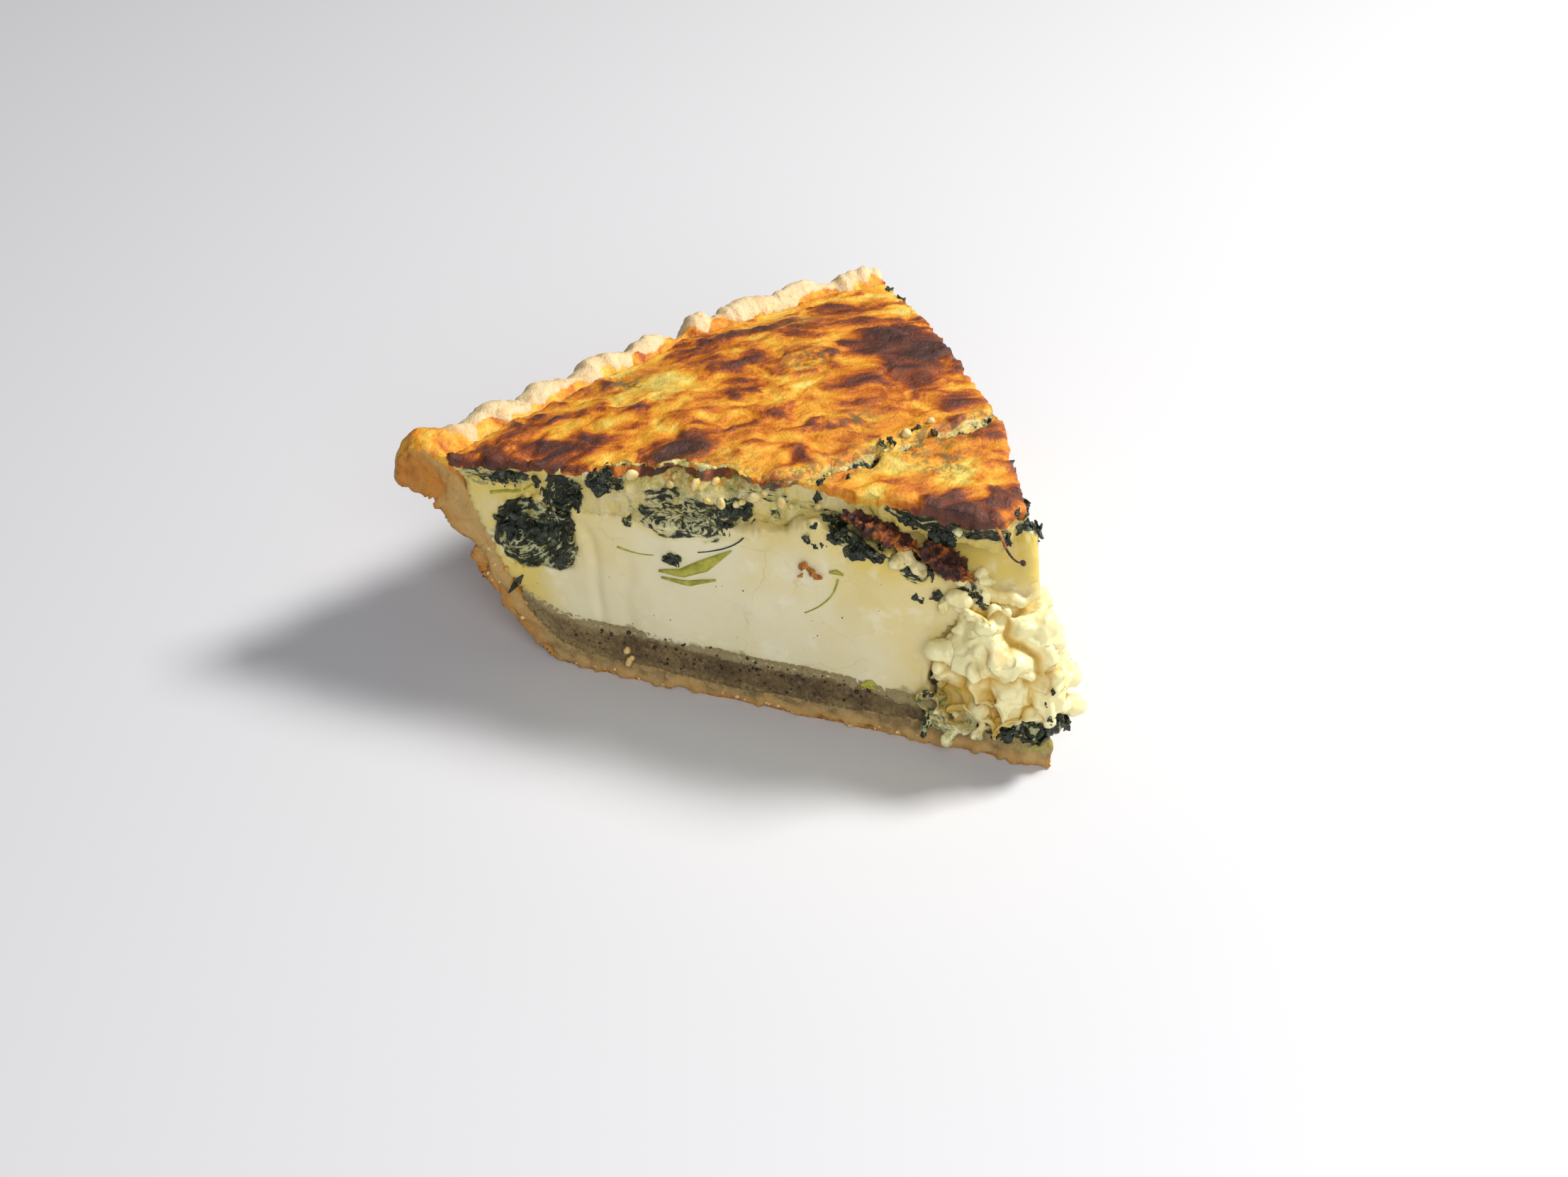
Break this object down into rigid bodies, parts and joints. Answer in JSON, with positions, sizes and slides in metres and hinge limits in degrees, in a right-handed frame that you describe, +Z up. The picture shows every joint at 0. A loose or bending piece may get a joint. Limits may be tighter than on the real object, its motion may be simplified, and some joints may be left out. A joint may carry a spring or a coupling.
{
  "type": "spinach quiche slice",
  "caption": "Wedge of deep-dish spinach quiche: crimped pastry crust, peppered layer, pale custard, spinach layer with a browned top, and a crumbled tip.",
  "frame": {"origin": "under the middle of the slice, on the surface it rests on: bottom centre of the bounding box", "axes": "+Y from the tip to the crimped rim, +Z up, +X to the right seen from the tip"},
  "size_m": [0.117, 0.117, 0.051],
  "materials": {
    "pastry": "dry baked pastry, pale cream on the crimps and golden brown on wall and underside",
    "peppered": "moist grey-brown layer flecked with black pepper",
    "custard": "smooth pale cream custard, faintly moist and translucent",
    "browned_top": "glossy baked skin, golden to dark brown in streaks",
    "spinach": "wet, nearly black-green cooked leaf",
    "charred": "crisp dark red-brown baked shred, semi-gloss"
  },
  "bodies": {
    "root": {"crust": "pastry", "peppered_layer": "peppered", "custard": "custard", "spinach_layer": "browned_top", "spinach_clump_side": "spinach", "spinach_clump_tip": "spinach", "tip_crumble": "custard", "browned_strip_upper": "charred", "browned_strip_lower": "charred"}
  },
  "joints": []
}
